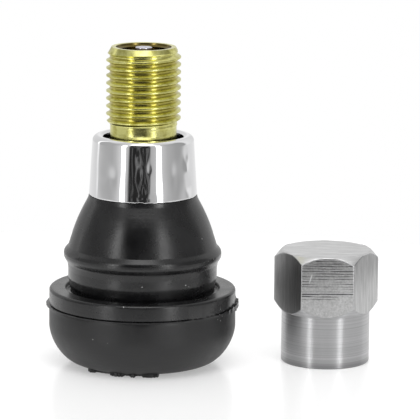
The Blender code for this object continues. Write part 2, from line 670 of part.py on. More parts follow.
def make_cap(group, tools, material, stand):
    """Cap turned from hexagonal bar: both ends of the head are chamfered, and the skirt is round."""
    corner = cap_flat_radius / cos(pi / 6)
    blank = corner + SNUG
    top = CAP_HEIGHT
    head_foot = top - CAP_HEAD_HEIGHT
    top_radius = cap_flat_radius - CAP_TOP_STEP
    top_fall = (blank - top_radius) * tan(CAP_CHAMFER)
    foot_rise = (blank - cap_skirt_radius) * tan(CAP_CHAMFER)
    bore = cap_thread_radius
    bore_end = cap_thread_depth
    skirt = cap_skirt_radius
    profile = [(0.0, top), (top_radius, top), (blank, top - top_fall), (blank, head_foot + foot_rise),
               (skirt, head_foot), (skirt, CAP_FOOT_CHAMFER), (skirt - CAP_FOOT_CHAMFER, 0.0),
               (bore + CAP_MOUTH_CHAMFER, 0.0), (bore, CAP_MOUTH_CHAMFER), (bore, bore_end),
               (CAP_DRILL_RADIUS, bore_end), (CAP_DRILL_RADIUS, bore_end + CAP_DRILL_DEPTH),
               (0.0, bore_end + CAP_DRILL_DEPTH + CAP_DRILL_RADIUS / tan(CAP_DRILL_POINT))]
    cap = turned("cap", profile, STEM_SIDES, group, material, stand, closed=False)
    bar_shape = bmesh.new()
    bmesh.ops.create_cone(bar_shape, cap_ends=True, segments=6, radius1=corner, radius2=corner,
                          depth=2 * CAP_HEIGHT, matrix=Matrix.Rotation(pi / 6, 4, "Z"))
    bar_mesh = bpy.data.meshes.new("hexagonal_bar")
    bar_shape.to_mesh(bar_mesh)
    bar_shape.free()
    bar = new_body("hexagonal_bar", bar_mesh, tools, parent=stand)
    bar.location = (0.0, 0.0, CAP_HEIGHT / 2)
    shape_with(cap, bar, "INTERSECT")
    settle(cap, CAP_CREASE)


def make_cap_gasket(group, material, stand):
    top = cap_thread_depth - SNUG
    foot = top - CAP_GASKET_THICKNESS
    outer = cap_thread_radius - SNUG
    profile = [(outer, top), (outer, foot), (CAP_GASKET_BORE, foot), (CAP_GASKET_BORE, top)]
    settle(turned("cap_gasket", profile, CORE_SIDES, group, material, stand))


def main():
    clear_scene()
    parts = new_collection("tyre_valve")
    tools = new_collection("cutters")

    brass = new_material("stem_brass", (0.60, 0.55, 0.20), 1.0, 0.25)
    rubber = new_material("moulded_rubber", (0.030, 0.030, 0.032), 0.0, 0.55)
    chrome = new_material("sleeve_chrome", (0.78, 0.78, 0.80), 1.0, 0.05)
    head_brass = new_material("core_brass", (0.62, 0.54, 0.26), 1.0, 0.3)
    barrel_nickel = new_material("barrel_nickel", (0.66, 0.64, 0.58), 1.0, 0.3)
    gasket_red = new_material("gasket_plastic", (0.60, 0.10, 0.06), 0.0, 0.5)
    pin_steel = new_material("pin_steel", (0.70, 0.70, 0.76), 1.0, 0.25)
    spring_steel = new_material("spring_steel", (0.50, 0.50, 0.52), 1.0, 0.3)
    seal_rubber = new_material("seal_rubber", (0.035, 0.035, 0.035), 0.0, 0.6)
    cap_nickel = new_material("cap_nickel", (0.58, 0.58, 0.59), 1.0, 0.35)

    make_stem(parts, brass)
    make_rubber_body(parts, tools, rubber)
    make_sleeve(parts, chrome)

    core = new_datum("core_axis", (0.0, 0.0, mouth_height), parts)
    make_core_head(parts, tools, head_brass, core)
    make_core_barrel(parts, barrel_nickel, core)
    make_barrel_gasket(parts, gasket_red, core)
    make_core_spring(parts, spring_steel, core)
    make_core_pin(parts, pin_steel, core)
    make_plunger(parts, head_brass, seal_rubber, core)

    stand = new_datum("cap_stand", (*CAP_PLACE, floor_height), parts)
    make_cap(parts, tools, cap_nickel, stand)
    make_cap_gasket(parts, seal_rubber, stand)


main()
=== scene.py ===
from math import atan2, ceil, cos, degrees, exp, pi, radians, sin, tan

import bmesh
import bpy
import numpy as np
from mathutils import Matrix, Vector, noise


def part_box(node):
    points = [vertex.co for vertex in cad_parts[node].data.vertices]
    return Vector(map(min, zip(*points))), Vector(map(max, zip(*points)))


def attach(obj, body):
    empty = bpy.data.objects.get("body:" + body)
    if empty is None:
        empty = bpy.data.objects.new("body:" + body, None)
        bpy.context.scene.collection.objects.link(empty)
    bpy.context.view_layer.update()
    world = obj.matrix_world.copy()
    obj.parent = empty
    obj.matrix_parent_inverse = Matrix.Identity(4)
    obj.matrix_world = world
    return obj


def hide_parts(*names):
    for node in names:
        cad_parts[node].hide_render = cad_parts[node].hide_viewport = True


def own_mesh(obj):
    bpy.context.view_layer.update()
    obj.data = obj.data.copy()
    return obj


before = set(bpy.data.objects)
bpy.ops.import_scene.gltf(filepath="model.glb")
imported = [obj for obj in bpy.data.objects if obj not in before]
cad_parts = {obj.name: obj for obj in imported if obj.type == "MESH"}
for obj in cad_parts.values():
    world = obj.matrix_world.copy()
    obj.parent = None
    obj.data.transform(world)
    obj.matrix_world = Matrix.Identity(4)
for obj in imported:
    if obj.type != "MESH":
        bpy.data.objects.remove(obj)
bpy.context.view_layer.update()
scene = bpy.context.scene
print("frame loaded:", ", ".join(sorted(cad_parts)))

mm = 0.001          # the shapes below are worked in millimetres and made metres when they are finished
roundSides = 144    # facets round the stem and the cap
coreSides = 96      # facets round the core's head


# Helpers for materials

def linear(hexColour):
    # an sRGB hex colour as the linear values that sockets hold
    parts = [int(hexColour[i:i + 2], 16) / 255 for i in (1, 3, 5)]
    return tuple(p / 12.92 if p <= 0.04045 else ((p + 0.055) / 1.055) ** 2.4 for p in parts) + (1.0,)


def grey(level):
    return (level, level, level, 1.0)


def addNode(tree, kind, inputs={}, stops=None, **settings):
    # inputs takes values and links alike; stops are the places and colours of a ramp
    node = tree.nodes.new("ShaderNode" + kind)
    for name, value in settings.items():
        setattr(node, name, value)
    for socket, value in inputs.items():
        if isinstance(value, bpy.types.NodeSocket):
            tree.links.new(value, node.inputs[socket])
        else:
            node.inputs[socket].default_value = value
    if stops:
        ramp = node.color_ramp
        ramp.elements.remove(ramp.elements[-1])
        ramp.elements[0].position = stops[0][0]
        for place, colour in stops[1:]:
            ramp.elements.new(place)
        for element, (place, colour) in zip(ramp.elements, stops):
            element.color = colour
    return node


def newMaterial(name):
    material = bpy.data.materials.new(name)
    material.use_nodes = True
    tree = material.node_tree
    place = addNode(tree, "TexCoord").outputs["Object"]
    return material, tree, tree.nodes["Principled BSDF"], place


def measureRound(tree, place):
    # the height, the distance from Z, and a place made of both, for patterns that run round the axis
    split = addNode(tree, "SeparateXYZ", {"Vector": place})
    flat = addNode(tree, "CombineXYZ", {"X": split.outputs["X"], "Y": split.outputs["Y"]})
    reach = addNode(tree, "VectorMath", {0: flat.outputs["Vector"]}, operation="LENGTH").outputs["Value"]
    rings = addNode(tree, "CombineXYZ", {"X": reach, "Y": split.outputs["Z"]}).outputs["Vector"]
    return split.outputs["Z"], reach, rings


def addSpot(tree, place, under, colour, angle, distance, height, size, edge, strength):
    # a soft round spot, at so many degrees from the front, over the colour under it
    centre = (distance * sin(radians(angle)) * mm, -distance * cos(radians(angle)) * mm, height * mm)
    away = addNode(tree, "VectorMath", {0: place, 1: centre}, operation="DISTANCE")
    share = addNode(tree, "MapRange", {"Value": away.outputs["Value"], "From Min": 0.6 * size * mm,
                                       "From Max": edge * size * mm, "To Min": strength, "To Max": 0.0})
    mixed = addNode(tree, "Mix", {"Factor": share.outputs["Result"], "A": under, "B": linear(colour)},
                    data_type="RGBA")
    return mixed.outputs["Result"]


# Helpers for shapes

def uneven(x, y, z):
    return noise.noise(Vector((x, y, z)))


def frontAngle(place):
    # degrees round the axis from the front, positive towards the cap
    return degrees(atan2(place.x, -place.y))


def roundTo(shape, points, corners, i):
    # a corner (r, z, radius, segments) becomes an arc that meets both of its lines smoothly
    radius, segments = corners[i][2:]
    here = Vector(corners[i][:2])
    back = Vector(corners[i - 1][:2]) - here
    ahead = Vector(corners[(i + 1) % len(corners)][:2]) - here
    bmesh.ops.bevel(shape, geom=[points[i]], offset=radius / tan(back.angle(ahead) / 2), segments=segments,
                    profile=0.5, affect="VERTICES", material=-1)


def drawOutline(corners, cyclic=False):
    # an open or closed line of (r, z) corners in the XZ plane
    shape = bmesh.new()
    points = [shape.verts.new((corner[0], 0.0, corner[1])) for corner in corners]
    for pair in zip(points, points[1:]):
        shape.edges.new(pair)
    if cyclic:
        shape.edges.new((points[-1], points[0]))
    for i, corner in enumerate(corners):
        if len(corner) > 2:
            roundTo(shape, points, corners, i)
    return shape


def tidyShape(shape):
    bmesh.ops.remove_doubles(shape, verts=shape.verts, dist=0.0002)
    bmesh.ops.recalc_face_normals(shape, faces=shape.faces)


def turnOutline(corners, sides, cyclic=False):
    # turned about Z, and closed where the outline starts or ends on the axis
    shape = drawOutline(corners, cyclic)
    bmesh.ops.spin(shape, geom=shape.verts[:] + shape.edges[:], axis=(0, 0, 1), cent=(0, 0, 0), angle=2 * pi,
                   steps=sides, use_merge=True)
    tidyShape(shape)
    return shape


def turnThread(corners, pitch, crestHeight, low, high, sides, radiusAt):
    # one pitch of outline climbs one turn round Z and is copied upwards; radiusAt trims it, and what is at
    # low or high, or past them, is pressed to a plain ring
    nearEnd = 0.02
    start = crestHeight - pitch / 2
    start -= pitch * ceil((start - (low - pitch)) / pitch)
    turns = ceil((high - start) / pitch) + 1
    shape = drawOutline([(corner[0], corner[1] + start, *corner[2:]) for corner in corners])
    bmesh.ops.spin(shape, geom=shape.verts[:] + shape.edges[:], axis=(0, 0, 1), cent=(0, 0, 0),
                   dvec=(0, 0, pitch / sides), angle=2 * pi, steps=sides, use_merge=False)
    firstTurn = shape.verts[:] + shape.edges[:] + shape.faces[:]
    for i in range(1, turns):
        copied = bmesh.ops.duplicate(shape, geom=firstTurn)["geom"]
        copiedPoints = [v for v in copied if isinstance(v, bmesh.types.BMVert)]
        bmesh.ops.translate(shape, vec=(0, 0, pitch * i), verts=copiedPoints)
    for point in shape.verts:
        height = point.co.z
        if height < low + nearEnd:
            height = low
        elif height > high - nearEnd:
            height = high
        radius = point.co.xy.length
        point.co.xy *= radiusAt(radius, height) / radius
        point.co.z = height
    bmesh.ops.remove_doubles(shape, verts=shape.verts, dist=0.0002)
    return shape


def cutAway(shape, place, outward):
    # what lies outside a plane goes, and the cut is closed
    cut = bmesh.ops.bisect_plane(shape, geom=shape.verts[:] + shape.edges[:] + shape.faces[:], dist=1e-5,
                                 plane_co=place, plane_no=outward, clear_outer=True)
    cutEdges = [e for e in cut["geom_cut"] if isinstance(e, bmesh.types.BMEdge)]
    bmesh.ops.edgeloop_fill(shape, edges=cutEdges)


def joinShapes(shapes):
    # one mesh of several shapes; rings that meet are merged when it is finished
    joined = bmesh.new()
    for shape in shapes:
        part = bpy.data.meshes.new("part")
        shape.to_mesh(part)
        shape.free()
        joined.from_mesh(part)
        bpy.data.meshes.remove(part)
    return joined


def finishPiece(shape, name, body, materials, replaced, sharp=30):
    tidyShape(shape)
    bmesh.ops.scale(shape, vec=(mm, mm, mm), verts=shape.verts)
    mesh = bpy.data.meshes.new(name)
    shape.to_mesh(mesh)
    shape.free()
    mesh.shade_smooth()
    mesh.set_sharp_from_angle(angle=radians(sharp))
    piece = bpy.data.objects.new(name, mesh)
    scene.collection.objects.link(piece)
    for material in materials:
        mesh.materials.append(material)
    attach(piece, body)
    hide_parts(*replaced)
    print(name, "made:", len(mesh.polygons), "faces")
    return piece


# Materials

rubberFinish = {
    "dark": "#0d0d0e", "pale": "#19191a", "cloudSize": 2.857, "roughness": (0.2, 0.33),
    "grain": 0.06, "grainDepth": 0.012, "mouldMarks": 0.12, "markDepth": 0.03,
    # the mould's lower half, under the parting line, was left rougher: how much, and from where to where
    "lowerRoughness": 0.2, "lowerHeights": (-1.7, -2.3),
    # loose dust: a grid of cells, the share of them that holds a speck, and its radius as a share of a cell
    "dust": "#a8a8a8", "dustGrid": 1.6, "dustShare": 0.1, "dustRadius": (0.035, 0.06),
    # specks and a fibre's bits, placed: degrees from the front, height, distance from the axis, size
    "specks": ((1, 1.6, 7.8, 0.07), (36, 1.5, 7.75, 0.09), (39, 1.3, 7.75, 0.06), (58, 5.9, 7.3, 0.07),
               (57, -1.2, 9.75, 0.06), (56, -1.7, 9.75, 0.08), (59, -2.0, 9.75, 0.06),
               (57, -2.4, 9.75, 0.07), (54, -2.2, 9.75, 0.05), (61, -1.5, 9.75, 0.06),
               (78, -1.0, 9.75, 0.06), (64, 3.7, 8.2, 0.06)),
    "speckEdge": 1.2, "speckShare": 0.8,
}


def makeRubber(finish):
    # Vulcanised rubber from a turned steel mould: satin black, faint rings from the mould, dust caught on it
    material, tree, shader, place = newMaterial("moulded_epdm_rubber")
    height, _, rings = measureRound(tree, place)
    cloud = addNode(tree, "TexNoise", {"Vector": place, "Scale": 1 / (finish["cloudSize"] * mm),
                                       "Detail": 4.0, "Roughness": 0.6})
    tone = addNode(tree, "ValToRGB", {"Fac": cloud.outputs["Fac"]},
                   stops=[(0.35, linear(finish["dark"])), (0.7, linear(finish["pale"]))])
    smooth, dull = finish["roughness"]
    sheen = addNode(tree, "MapRange", {"Value": cloud.outputs["Fac"], "From Min": 0.3, "From Max": 0.7,
                                       "To Min": smooth, "To Max": dull})
    upper, lower = finish["lowerHeights"]
    lowerHalf = addNode(tree, "MapRange", {"Value": height, "From Min": upper * mm, "From Max": lower * mm,
                                           "To Max": finish["lowerRoughness"]})
    sheen = addNode(tree, "Math", {0: sheen.outputs["Result"], 1: lowerHalf.outputs["Result"]},
                    operation="ADD")
    # noise that changes only with the height and the distance from the axis makes rings
    marks = addNode(tree, "TexNoise", {"Vector": rings, "Scale": 1 / (8 * finish["mouldMarks"] * mm),
                                       "Detail": 3.0, "Roughness": 0.7})
    grain = addNode(tree, "TexNoise", {"Vector": place, "Scale": 1 / (4 * finish["grain"] * mm),
                                       "Detail": 2.0, "Roughness": 0.5})
    cells = addNode(tree, "TexVoronoi", {"Vector": place, "Scale": 1 / (finish["dustGrid"] * mm),
                                         "Randomness": 1.0})
    chosen = addNode(tree, "SeparateColor", {"Color": cells.outputs["Color"]})
    rare = addNode(tree, "Math", {0: chosen.outputs["Red"], 1: 1 - finish["dustShare"]},
                   operation="GREATER_THAN")
    core, edge = finish["dustRadius"]
    near = addNode(tree, "MapRange", {"Value": cells.outputs["Distance"], "From Min": core, "From Max": edge,
                                      "To Min": 1.0, "To Max": 0.0})
    speck = addNode(tree, "Math", {0: rare.outputs["Value"], 1: near.outputs["Result"]},
                    operation="MULTIPLY")
    colour = addNode(tree, "Mix", {"Factor": speck.outputs["Value"], "A": tone.outputs["Color"],
                                   "B": linear(finish["dust"])}, data_type="RGBA").outputs["Result"]
    for angle, level, distance, size in finish["specks"]:
        colour = addSpot(tree, place, colour, finish["dust"], angle, distance, level, size,
                         finish["speckEdge"], finish["speckShare"])
    bumpMarks = addNode(tree, "Bump", {"Height": marks.outputs["Fac"], "Distance": finish["markDepth"] * mm,
                                       "Strength": 0.6})
    bumpGrain = addNode(tree, "Bump", {"Height": grain.outputs["Fac"], "Distance": finish["grainDepth"] * mm,
                                       "Strength": 0.6, "Normal": bumpMarks.outputs["Normal"]})
    tree.links.new(colour, shader.inputs["Base Color"])
    tree.links.new(sheen.outputs["Value"], shader.inputs["Roughness"])
    tree.links.new(bumpGrain.outputs["Normal"], shader.inputs["Normal"])
    shader.inputs["IOR"].default_value = 1.52
    return material


brassFinish = {
    "bright": "#e2df90", "grime": "#bab45e", "cloudSize": 1.111, "roughness": 0.22, "toolLines": 0.05,
    "toolDepth": 0.008,
    # painted shade in the thread's roots: its colour, where the thread is, and how much of it is
    # left between 3.3 and 3.9 mm from the axis
    "roots": "#b0a446", "threadMiddle": 21.0, "threadHalf": 3.4, "rootShadeReach": (3.3, 3.9),
    "rootShade": ((0.1, 0.0), (0.22, 0.75), (0.36, 0.75), (0.6, 0.0)),
    # inside the bore: a brown of its own, made darker as painted shade: its colour, where it begins, and its
    # share
    "bore": "#5c4a22", "boreShadeReach": (2.87, 2.9), "boreShadeShare": 0.9,
    # painted shade in the nicks: its colour, how soft its edge is, and its share
    "nickShade": "#2c2a12", "nickEdge": 1.1, "nickShare": 0.9,
}


def makeBrass(finish, sizes):
    # Free-cutting brass from the lathe, bright-dipped: greenish yellow, with fine tool lines round it
    material, tree, shader, place = newMaterial("turned_brass")
    height, reach, rings = measureRound(tree, place)
    lines = addNode(tree, "TexNoise", {"Vector": rings, "Scale": 1 / (6 * finish["toolLines"] * mm),
                                       "Detail": 3.0})
    cloud = addNode(tree, "TexNoise", {"Vector": place, "Scale": 1 / (finish["cloudSize"] * mm),
                                       "Detail": 3.0, "Roughness": 0.6})
    tone = addNode(tree, "ValToRGB", {"Fac": cloud.outputs["Fac"]},
                   stops=[(0.3, linear(finish["grime"])), (0.55, linear(finish["bright"]))])
    # painted shade: the colour darkens in the thread's roots
    near, far = finish["rootShadeReach"]
    reached = addNode(tree, "MapRange", {"Value": reach, "From Min": near * mm, "From Max": far * mm})
    rootShadeRamp = addNode(tree, "ValToRGB", {"Fac": reached.outputs["Result"]},
                      stops=[(share, grey(level)) for share, level in finish["rootShade"]])
    middle, half = finish["threadMiddle"] * mm, finish["threadHalf"] * mm
    threaded = addNode(tree, "Math", {0: height, 1: middle, 2: half}, operation="COMPARE")
    share = addNode(tree, "Math", {0: rootShadeRamp.outputs["Color"], 1: threaded.outputs["Value"]},
                    operation="MULTIPLY")
    rootShaded = addNode(tree, "Mix", {"Factor": share.outputs["Value"], "A": tone.outputs["Color"],
                                 "B": linear(finish["roots"])}, data_type="RGBA")
    # the bore's inside turns brown, partly its own colour and partly painted shade
    near, far = finish["boreShadeReach"]
    boreShade = addNode(tree, "MapRange", {"Value": reach, "From Min": near * mm, "From Max": far * mm,
                                        "To Min": finish["boreShadeShare"], "To Max": 0.0})
    colour = addNode(tree, "Mix", {"Factor": boreShade.outputs["Result"], "A": rootShaded.outputs["Result"],
                                   "B": linear(finish["bore"])}, data_type="RGBA").outputs["Result"]
    for angle, level, size in sizes["nicks"]:        # painted shade in the nicks at the thread's start
        colour = addSpot(tree, place, colour, finish["nickShade"], angle, sizes["nickReach"], level, size,
                         finish["nickEdge"], finish["nickShare"])
    bump = addNode(tree, "Bump", {"Height": lines.outputs["Fac"], "Distance": finish["toolDepth"] * mm,
                                  "Strength": 0.5})
    tree.links.new(colour, shader.inputs["Base Color"])
    tree.links.new(bump.outputs["Normal"], shader.inputs["Normal"])
    shader.inputs["Metallic"].default_value = 1.0
    shader.inputs["Roughness"].default_value = finish["roughness"]
    return material


chromeFinish = {"tint": "#f2f2f3", "roughness": (0.024, 0.064), "hazeSize": 2.0, "ripple": 1.1,
                "rippleStretch": 0.35, "rippleDepth": 0.016}


def makeChrome(finish):
    # Bright chrome plating on a drawn sleeve: a mirror with the drawing's faint upright ripple left in it
    material, tree, shader, place = newMaterial("bright_chrome_plating")
    drawn = addNode(tree, "Mapping", {"Vector": place, "Scale": (1.0, 1.0, finish["rippleStretch"])})
    ripple = addNode(tree, "TexNoise", {"Vector": drawn.outputs["Vector"], "Detail": 1.0, "Roughness": 0.4,
                                        "Scale": 1 / (finish["ripple"] * mm)})
    bump = addNode(tree, "Bump", {"Height": ripple.outputs["Fac"], "Distance": finish["rippleDepth"] * mm,
                                  "Strength": 0.5})
    cloud = addNode(tree, "TexNoise", {"Vector": place, "Scale": 1 / (finish["hazeSize"] * mm),
                                       "Detail": 3.0})
    clear, hazy = finish["roughness"]
    haze = addNode(tree, "MapRange", {"Value": cloud.outputs["Fac"], "To Min": clear, "To Max": hazy})
    tree.links.new(haze.outputs["Result"], shader.inputs["Roughness"])
    tree.links.new(bump.outputs["Normal"], shader.inputs["Normal"])
    shader.inputs["Base Color"].default_value = linear(finish["tint"])
    shader.inputs["Metallic"].default_value = 1.0
    return material


def drawLines(tree, shader, place, dark, bright, roughness, lineSize, depth, raggedness):
    # a tool's fine lines on metal: dark beside bright, and as deep as the tool cut them
    lines = addNode(tree, "TexNoise", {"Vector": place, "Scale": 1 / (lineSize * mm), "Detail": 4.0,
                                       "Roughness": raggedness})
    tone = addNode(tree, "ValToRGB", {"Fac": lines.outputs["Fac"]},
                   stops=[(0.35, linear(dark)), (0.65, linear(bright))])
    bump = addNode(tree, "Bump", {"Height": lines.outputs["Fac"], "Distance": depth * mm, "Strength": 1.0})
    tree.links.new(bump.outputs["Normal"], shader.inputs["Normal"])
    shader.inputs["Metallic"].default_value = 1.0
    shader.inputs["Roughness"].default_value = roughness
    return tone.outputs["Color"]


def makeCutMetal(name, dark, bright, roughness, lineSize, depth, stretch):
    # Nickel-plated brass as a tool left it: lines that run along the axis that stretch makes long
    material, tree, shader, place = newMaterial(name)
    drawn = addNode(tree, "Mapping", {"Vector": place, "Scale": stretch})
    colour = drawLines(tree, shader, drawn.outputs["Vector"], dark, bright, roughness, lineSize, depth, 0.65)
    tree.links.new(colour, shader.inputs["Base Color"])
    return material


# painted shade at the foot of a piece that stands on the floor: its colour, its share, and how high it
# reaches
footContactShade = {"shade": "#3c3c3c", "share": 0.45, "rise": 1.1}


def makeTurnedMetal(name, dark, bright, roughness, lineSize, depth, axis=(0, 0), spread=0.0, foot=None):
    # Metal from the lathe: fine lines round its axis, which spread its highlights up and down where they are
    # finest, and painted shade round the foot of what stands on the floor, where its contact shadow falls
    material, tree, shader, place = newMaterial(name)
    centred = addNode(tree, "Mapping", {"Vector": place, "Location": (-axis[0] * mm, -axis[1] * mm, 0.0)})
    height, _, rings = measureRound(tree, centred.outputs["Vector"])
    colour = drawLines(tree, shader, rings, dark, bright, roughness, lineSize, depth, 0.6)
    # painted shade: the colour darkens towards the foot, where the contact shadow falls
    if foot is not None:
        share = addNode(tree, "MapRange", {"Value": height, "From Min": foot * mm,
                                           "From Max": (foot + footContactShade["rise"]) * mm,
                                           "To Min": footContactShade["share"], "To Max": 0.0},
                        interpolation_type="SMOOTHERSTEP")
        colour = addNode(tree, "Mix", {"Factor": share.outputs["Result"], "A": colour,
                                       "B": linear(footContactShade["shade"])}, data_type="RGBA").outputs["Result"]
    tree.links.new(colour, shader.inputs["Base Color"])
    shader.inputs["Anisotropic"].default_value = spread
    if spread:
        shader.inputs["Anisotropic Rotation"].default_value = 0.25
        around = addNode(tree, "Tangent", direction_type="RADIAL", axis="Z")
        tree.links.new(around.outputs["Tangent"], shader.inputs["Tangent"])
    return material


def makeMilledMetal(sizes):
    # Nickel over a milled flat: thin dark cutter lines on its upper part, a band of deeper ones, a scratch
    material, tree, shader, place = newMaterial("milled_nickel_plate")
    across = addNode(tree, "Mapping", {"Vector": place, "Scale": (0.12, 1.0, 1.0)}).outputs["Vector"]
    wave = addNode(tree, "TexWave", {"Vector": across, "Scale": pi / (10 * sizes["lineStep"] * mm),
                                     "Distortion": 2.2, "Detail": 2.0, "Detail Scale": 1.2,
                                     "Detail Roughness": 0.6}, bands_direction="Z")
    cut = addNode(tree, "ValToRGB", {"Fac": wave.outputs["Fac"]},
                  stops=[(0.12, grey(1.0)), (0.5, grey(0.0))])
    # the cutter bit unevenly, so that the lines come and go
    bitten = addNode(tree, "TexNoise", {"Vector": across, "Scale": 1 / (sizes["biteSize"] * mm),
                                        "Detail": 2.0})
    bite = addNode(tree, "MapRange", {"Value": bitten.outputs["Fac"], "From Min": 0.35, "From Max": 0.6})
    split = addNode(tree, "SeparateXYZ", {"Vector": place})
    low, high = sizes["lineHeights"]
    reached = addNode(tree, "MapRange", {"Value": split.outputs["Z"], "From Min": low * mm,
                                         "From Max": high * mm})
    strong = addNode(tree, "ValToRGB", {"Fac": reached.outputs["Result"]},
                     stops=[(rise, grey(level)) for rise, level in sizes["lineShare"]])
    deep = addNode(tree, "Math", {0: cut.outputs["Color"], 1: strong.outputs["Color"]}, operation="MULTIPLY")
    share = addNode(tree, "Math", {0: deep.outputs["Value"], 1: bite.outputs["Result"]},
                    operation="MULTIPLY")
    grain = addNode(tree, "TexNoise", {"Vector": place, "Scale": 1 / (sizes["grainSize"] * mm),
                                       "Detail": 4.0, "Roughness": 0.7})
    tone = addNode(tree, "ValToRGB", {"Fac": grain.outputs["Fac"]},
                   stops=[(0.3, linear(sizes["dark"])), (0.7, linear(sizes["bright"]))])
    lined = addNode(tree, "Mix", {"Factor": share.outputs["Value"], "A": tone.outputs["Color"],
                                  "B": linear(sizes["line"])}, data_type="RGBA")
    # the scratch is a ball of colour, squeezed to a slanted line
    slant = addNode(tree, "Mapping", {"Vector": place, "Location": [v * mm for v in sizes["scratchPlace"]],
                                      "Rotation": (0.0, radians(sizes["scratchTurn"]), 0.0),
                                      "Scale": (1.0, 1000.0, 7.0)}, vector_type="TEXTURE")
    away = addNode(tree, "VectorMath", {0: slant.outputs["Vector"]}, operation="LENGTH")
    core, edge = sizes["scratchHalf"]
    scratch = addNode(tree, "MapRange", {"Value": away.outputs["Value"], "From Min": core * mm,
                                         "From Max": edge * mm, "To Min": 0.9, "To Max": 0.0})
    colour = addNode(tree, "Mix", {"Factor": scratch.outputs["Result"], "A": lined.outputs["Result"],
                                   "B": linear(sizes["scratch"])}, data_type="RGBA")
    bump = addNode(tree, "Bump", {"Height": share.outputs["Value"], "Distance": -sizes["lineDepth"] * mm,
                                  "Strength": 1.0})
    bumpGrain = addNode(tree, "Bump", {"Height": grain.outputs["Fac"], "Distance": sizes["grainDepth"] * mm,
                                       "Strength": 1.0, "Normal": bump.outputs["Normal"]})
    tree.links.new(colour.outputs["Result"], shader.inputs["Base Color"])
    tree.links.new(bumpGrain.outputs["Normal"], shader.inputs["Normal"])
    shader.inputs["Metallic"].default_value = 1.0
    shader.inputs["Roughness"].default_value = sizes["roughness"]
    return material


rubber = makeRubber(rubberFinish)
chrome = makeChrome(chromeFinish)
print("rubber and chrome made")


# Ribs of the stem inside the rubber

ribSizes = {"heights": (-2.6, 0.4, 3.4), "tall": 0.9, "root": 3.0, "reach": 3.4}


def ribCorners(play):
    # the corners of the ribs, and with some play the corners of the rubber round them
    root, reach = ribSizes["root"] + play, ribSizes["reach"] + play
    corners = []
    for height in ribSizes["heights"]:
        low, high = height - play, height + ribSizes["tall"] + play
        corners += [(root, low), (reach, low), (reach, high), (root, high)]
    return corners


# Rubber body

rubberSizes = {
    "sides": 192, "topHeight": 15.25, "topReach": 4.817, "shoulderReach": 5.63, "shoulderHeight": 9.83,
    "neck": 7.78, "seatInner": 8.05, "flange": 9.75, "grooveDepth": 0.45,
    "undercut": 0.33, "flashHeight": -1.79, "underside": -7.85, "hole": 2.0, "play": 0.05,
    # how far the moulding flash stands out, by degrees round from the front
    "flash": ((-180, .16), (-125, .2), (-100, .32), (-78, .34), (-62, .14), (-50, .06), (28, .04), (33, 0.0),
              (50, 0.0), (55, .1), (62, .2), (74, .24), (90, .33), (104, .3), (130, .18), (180, .16)),
    "tornChunk": (55, 130), "tornThickness": 0.3, "brokenLine": (32, 52),
    # torn flash under the heel: how much of it is left, by degrees round from the front
    "scraps": ((-50, 0.0), (-49, .7), (-45, .95), (-41, .8), (-40, .45), (-33.5, .4), (-26, .3),
               (-25.5, .75), (-20, 1.0), (-15, .9), (-13, .4), (-9, .45), (-7.5, .95), (-5, 1.0),
               (-3.8, .4), (1, .35), (2, .85), (8, 1.0), (14.5, .9), (16, 0.0)),
    "scrapDepth": 0.2, "scrapReach": 0.5, "scrapSteps": 110,
}


def drawRubberOutline(sizes):
    flange, flashZ, base = sizes["flange"], sizes["flashHeight"], sizes["underside"]
    neck, groove, hole = sizes["neck"], -sizes["grooveDepth"], sizes["hole"]
    reach, height = sizes["shoulderReach"], sizes["shoulderHeight"]
    cone = [(3.5, sizes["topHeight"]), (sizes["topReach"], sizes["topHeight"], 0.4, 6),
            (reach - 0.45, height), (reach, height),
            (5.74, 9.42, 1.0, 4), (6.56, 7.86, 16.0, 12), (7.16, 6.38, 16.0, 12)]
    ridge = [(7.775, 4.42, 0.12, 4), (8.235, 3.93, 0.6, 8), (8.235, 3.35, 0.6, 8), (7.86, 2.72, 0.8, 5),
             (7.78, 2.1, 0.8, 4), (neck, 1.2, 1.2, 6), (neck - sizes["undercut"], groove, 0.12, 4)]
    seat = [(sizes["seatInner"], groove, 0.1, 3), (sizes["seatInner"], 0.0, 0.14, 5), (8.6, -0.03),
            (9.2, 0.0), (flange, 0.0, 0.3, 9)]
    line = [(flange, flashZ + 0.22), (flange - 0.13, flashZ + 0.13), (flange + 0.05, flashZ + 0.05),
            (flange + 0.05, flashZ - 0.05), (flange - 0.02, flashZ - 0.12), (flange, flashZ - 0.2)]
    foot = [(flange + 0.03, -6.15, 4.3, 22), (7.2, base, 2.3, 10), (hole + 0.2, base, 0.08, 2),
            (hole, base + 0.2, 0.08, 2), (hole, -6.4)]
    # moulded round the stem's foot and ribs
    root = ribSizes["root"] + sizes["play"]
    inside = [(3.95, -6.4), (3.95, -5.4), (root, -5.4), *ribCorners(sizes["play"]), (root, 8.45),
              (3.5, 8.45)]
    return cone + ridge + seat + line + foot + inside


